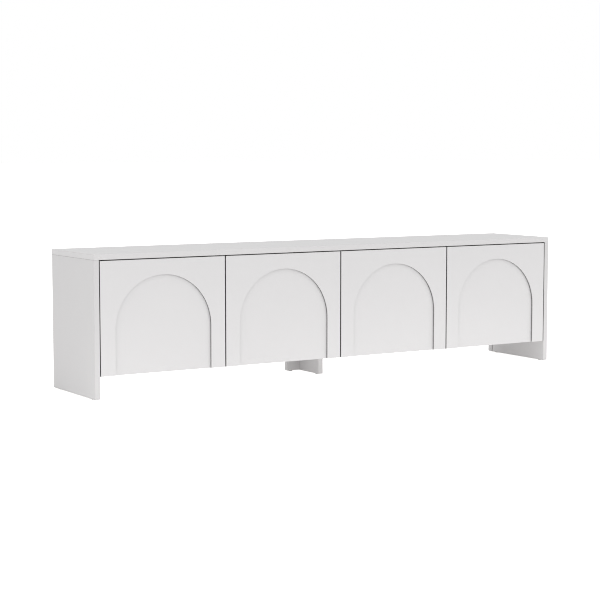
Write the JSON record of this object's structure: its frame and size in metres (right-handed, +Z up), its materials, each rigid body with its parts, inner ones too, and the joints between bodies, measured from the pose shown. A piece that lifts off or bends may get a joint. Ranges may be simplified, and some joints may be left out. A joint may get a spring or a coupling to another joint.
{
  "type": "tv stand with doors",
  "caption": "Long low white lacquered media cabinet on plank legs, with inset push-to-open doors that carry a shallow arch relief, over compartments with shelves and cable outlets.",
  "frame": {"origin": "on the floor, under the middle of the cabinet", "axes": "+X along the length towards the right-hand side seen from the doors, +Y from the doors to the back, +Z up"},
  "size_m": [1.8, 0.32, 0.45],
  "materials": {
    "white_lacquer": "semi-gloss white lacquer on fibreboard",
    "white_hardboard": "white foil on thin fibreboard",
    "nickel_steel": "nickel plated pressed steel",
    "screw_steel": "zinc plated",
    "zinc": "die-cast zinc",
    "beech": "bare beech",
    "white_plastic": "moulded, fine texture",
    "grey_plastic": "moulded, satin"
  },
  "bodies": {
    "cabinet": {"top_panel": "white_lacquer", "left_side_panel": "white_lacquer", "right_side_panel": "white_lacquer", "bottom_panel": "white_lacquer", "left_partition": "white_lacquer", "centre_partition": "white_lacquer", "right_partition": "white_lacquer", "centre_leg_blade": "white_lacquer", "centre_leg_cross": "white_lacquer", "shelf_1": "white_lacquer", "shelf_2": "white_lacquer", "shelf_3": "white_lacquer", "shelf_4": "white_lacquer", "hinge_arms_1": "nickel_steel", "hinge_arms_2": "nickel_steel", "hinge_arms_3": "nickel_steel", "hinge_arms_4": "nickel_steel", "left_back_panel": "white_hardboard", "right_back_panel": "white_hardboard", "arm_pins": "screw_steel", "arm_screws": "screw_steel", "plate_screws": "screw_steel", "back_screws": "screw_steel", "carcass_screws": "screw_steel", "cam_bolts": "screw_steel", "shelf_pins": "screw_steel", "hinge_plates": "nickel_steel", "cam_locks": "zinc", "dowels": "beech", "cable_grommets": "white_plastic", "latch_housings": "white_plastic", "floor_glides": "grey_plastic"},
    "door_1": {"door_face_1": "white_lacquer", "door_backing_1": "white_lacquer", "hinge_cups_1": "nickel_steel", "cup_pins_1": "screw_steel", "cup_screws_1": "screw_steel"},
    "links_1": {"hinge_links_1": "nickel_steel"},
    "plunger_1": {"latch_plunger_1": "grey_plastic"},
    "door_2": {"door_face_2": "white_lacquer", "door_backing_2": "white_lacquer", "hinge_cups_2": "nickel_steel", "cup_pins_2": "screw_steel", "cup_screws_2": "screw_steel"},
    "links_2": {"hinge_links_2": "nickel_steel"},
    "plunger_2": {"latch_plunger_2": "grey_plastic"},
    "door_3": {"door_face_3": "white_lacquer", "door_backing_3": "white_lacquer", "hinge_cups_3": "nickel_steel", "cup_pins_3": "screw_steel", "cup_screws_3": "screw_steel"},
    "links_3": {"hinge_links_3": "nickel_steel"},
    "plunger_3": {"latch_plunger_3": "grey_plastic"},
    "door_4": {"door_face_4": "white_lacquer", "door_backing_4": "white_lacquer", "hinge_cups_4": "nickel_steel", "cup_pins_4": "screw_steel", "cup_screws_4": "screw_steel"},
    "links_4": {"hinge_links_4": "nickel_steel"},
    "plunger_4": {"latch_plunger_4": "grey_plastic"}
  },
  "joints": [
    {"name": "link_1_turn", "type": "hinge", "parent": "cabinet", "child": "links_1", "pos_m": [-0.8409, -0.106, 0.2505], "axis": [0, 0, 1], "range_deg": [0, 23.8]},
    {"name": "door_1_swing", "type": "hinge", "parent": "links_1", "child": "door_1", "pos_m": [-0.8689, -0.146, 0.2505], "axis": [0, 0, -1], "range_deg": [0, 118.75]},
    {"name": "plunger_1_press", "type": "slide", "parent": "cabinet", "child": "plunger_1", "axis": [0, 1, 0], "range_m": [0, 0.003], "stiffness_N_per_m": 400},
    {"name": "link_2_turn", "type": "hinge", "parent": "cabinet", "child": "links_2", "pos_m": [-0.04025, -0.106, 0.2505], "axis": [0, 0, -1], "range_deg": [0, 22.55]},
    {"name": "door_2_swing", "type": "hinge", "parent": "links_2", "child": "door_2", "pos_m": [-0.01225, -0.146, 0.2505], "axis": [0, 0, 1], "range_deg": [0, 112.5]},
    {"name": "plunger_2_press", "type": "slide", "parent": "cabinet", "child": "plunger_2", "axis": [0, 1, 0], "range_m": [0, 0.003], "stiffness_N_per_m": 400},
    {"name": "link_3_turn", "type": "hinge", "parent": "cabinet", "child": "links_3", "pos_m": [0.04025, -0.106, 0.2505], "axis": [0, 0, 1], "range_deg": [0, 22.55]},
    {"name": "door_3_swing", "type": "hinge", "parent": "links_3", "child": "door_3", "pos_m": [0.01225, -0.146, 0.2505], "axis": [0, 0, -1], "range_deg": [0, 112.5]},
    {"name": "plunger_3_press", "type": "slide", "parent": "cabinet", "child": "plunger_3", "axis": [0, 1, 0], "range_m": [0, 0.003], "stiffness_N_per_m": 400},
    {"name": "link_4_turn", "type": "hinge", "parent": "cabinet", "child": "links_4", "pos_m": [0.8409, -0.106, 0.2505], "axis": [0, 0, -1], "range_deg": [0, 23.8]},
    {"name": "door_4_swing", "type": "hinge", "parent": "links_4", "child": "door_4", "pos_m": [0.8689, -0.146, 0.2505], "axis": [0, 0, 1], "range_deg": [0, 118.75]},
    {"name": "plunger_4_press", "type": "slide", "parent": "cabinet", "child": "plunger_4", "axis": [0, 1, 0], "range_m": [0, 0.003], "stiffness_N_per_m": 400}
  ],
  "couplings": [
    {"joint": "link_1_turn", "follows": "door_1_swing", "ratio": 0.2},
    {"joint": "link_2_turn", "follows": "door_2_swing", "ratio": 0.2},
    {"joint": "link_3_turn", "follows": "door_3_swing", "ratio": 0.2},
    {"joint": "link_4_turn", "follows": "door_4_swing", "ratio": 0.2}
  ]
}
